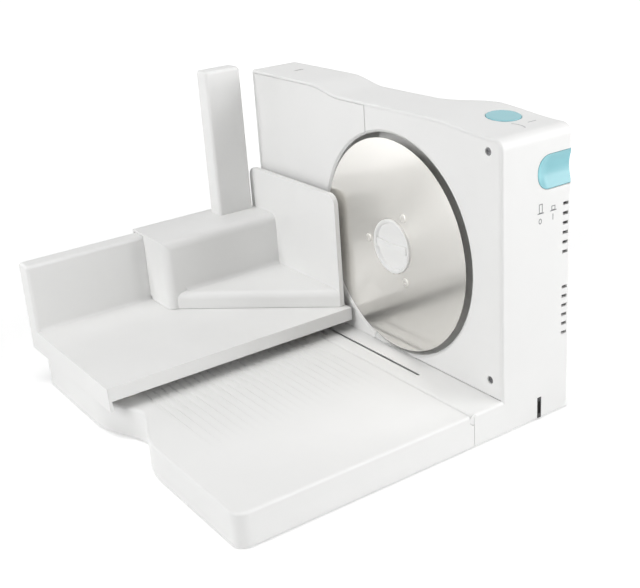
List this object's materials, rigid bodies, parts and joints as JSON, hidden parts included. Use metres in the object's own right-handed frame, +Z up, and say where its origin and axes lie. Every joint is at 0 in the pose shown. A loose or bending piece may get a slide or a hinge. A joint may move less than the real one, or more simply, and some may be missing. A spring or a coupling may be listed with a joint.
{
  "type": "food slicer",
  "caption": "Household food slicer with a round blade in an upright motor housing, a folding base, a sliding carriage and a food pusher, and a dial for slice thickness.",
  "frame": {"origin": "centre of the whole footprint, on the table", "axes": "+X along the blade face to the right, +Y back from the blade face, +Z up"},
  "size_m": [0.3382, 0.2936, 0.236],
  "materials": {
    "white_plastic": "satin white ABS",
    "turquoise_plastic": "glossy turquoise ABS",
    "stainless_blade": "finely brushed stainless steel",
    "rivet_steel": "turned stainless steel",
    "dark_screw": "blackened steel",
    "black_rubber": "matt black rubber",
    "bright_steel": "ground bright steel",
    "natural_nylon": "natural nylon",
    "sintered_bronze": "oil-filled sintered bronze",
    "core_steel": "stacked core sheets, lacquered",
    "copper_winding": "enamelled copper",
    "zinc_plate": "zinc-plated pressed steel",
    "black_plastic": "black moulded plastic"
  },
  "bodies": {
    "housing": {"motor_housing": "white_plastic", "face_cover": "white_plastic", "cover_screws": "dark_screw", "bottom_cover": "white_plastic", "bottom_screws": "bright_steel", "housing_feet": "black_rubber", "cord_gland": "black_rubber", "terminal_block": "black_plastic", "hinge_pin": "bright_steel", "spindle_front_bush": "sintered_bronze", "spindle_rear_bush": "sintered_bronze", "stator_core": "core_steel", "field_coils": "copper_winding", "front_bracket": "zinc_plate", "rear_bracket": "zinc_plate", "motor_screws": "bright_steel", "brush_holders": "black_plastic", "shaft_bushes": "sintered_bronze", "guide_rods": "bright_steel", "start_microswitch": "black_plastic", "safety_microswitch": "black_plastic", "start_spring": "bright_steel", "safety_spring": "bright_steel"},
    "blade_drive": {"blade": "stainless_blade", "blade_rivets": "rivet_steel", "blade_hub": "natural_nylon", "drive_spindle": "bright_steel", "worm_wheel": "natural_nylon"},
    "lock_knob": {"blade_lock_knob": "white_plastic"},
    "rotor": {"rotor_shaft": "bright_steel", "armature": "core_steel", "commutator": "copper_winding", "worm": "bright_steel", "cooling_fan": "black_plastic"},
    "gauge": {"gauge_plate": "white_plastic", "gauge_nut": "sintered_bronze"},
    "dial": {"thickness_dial": "white_plastic", "dial_screw": "bright_steel"},
    "button": {"safety_button": "turquoise_plastic"},
    "switch": {"start_switch": "turquoise_plastic"},
    "base": {"base_tray": "white_plastic", "base_feet": "black_rubber"},
    "shoe": {"guide_shoe": "natural_nylon"},
    "carriage": {"carriage": "white_plastic", "carriage_glides": "natural_nylon"},
    "pusher": {"pusher_saddle": "white_plastic", "pusher_plate": "white_plastic", "pusher_post": "white_plastic"}
  },
  "joints": [
    {"name": "blade_spin", "type": "hinge", "parent": "housing", "child": "blade_drive", "pos_m": [0.04815, 0.07975, 0.116], "axis": [0, 1, 0], "continuous": true},
    {"name": "lock_turn", "type": "hinge", "parent": "blade_drive", "child": "lock_knob", "pos_m": [0.04815, 0.07975, 0.116], "axis": [0, 1, 0], "range_deg": [0, 90]},
    {"name": "rotor_spin", "type": "hinge", "parent": "housing", "child": "rotor", "pos_m": [0.04815, 0.11775, 0.0845], "axis": [1, 0, 0], "continuous": true},
    {"name": "dial_turn", "type": "hinge", "parent": "housing", "child": "dial", "pos_m": [-0.06185, 0.12775, 0.201], "axis": [0, 1, 0], "range_deg": [0, 301]},
    {"name": "gauge_slide", "type": "slide", "parent": "housing", "child": "gauge", "axis": [0, 1, 0], "range_m": [0, 0.015]},
    {"name": "safety_press", "type": "slide", "parent": "housing", "child": "button", "axis": [0, 0, -1], "range_m": [0, 0.003], "stiffness_N_per_m": 300, "springref_m": -0.002, "deforming": ["safety_spring"]},
    {"name": "start_press", "type": "slide", "parent": "housing", "child": "switch", "axis": [-1, 0, 0], "range_m": [0, 0.003], "stiffness_N_per_m": 300, "springref_m": -0.002, "deforming": ["start_spring"]},
    {"name": "base_fold", "type": "hinge", "parent": "housing", "child": "base", "pos_m": [0.04815, 0.05175, 0.023], "axis": [-1, 0, 0], "range_deg": [0, 90]},
    {"name": "carriage_slide", "type": "slide", "parent": "housing", "child": "shoe", "axis": [1, 0, 0], "range_m": [0, 0.156]},
    {"name": "carriage_lift", "type": "slide", "parent": "shoe", "child": "carriage", "axis": [0, 0, 1], "range_m": [0, 0.321]},
    {"name": "pusher_slide", "type": "slide", "parent": "carriage", "child": "pusher", "axis": [0, -1, 0], "range_m": [0, 0.105]}
  ],
  "couplings": [
    {"joint": "rotor_spin", "follows": "blade_spin", "ratio": 40},
    {"joint": "dial_turn", "follows": "gauge_slide", "rad_per_m": 349.07},
    {"joint": "carriage_lift", "follows": "base_fold", "m_per_rad": 0.204}
  ]
}
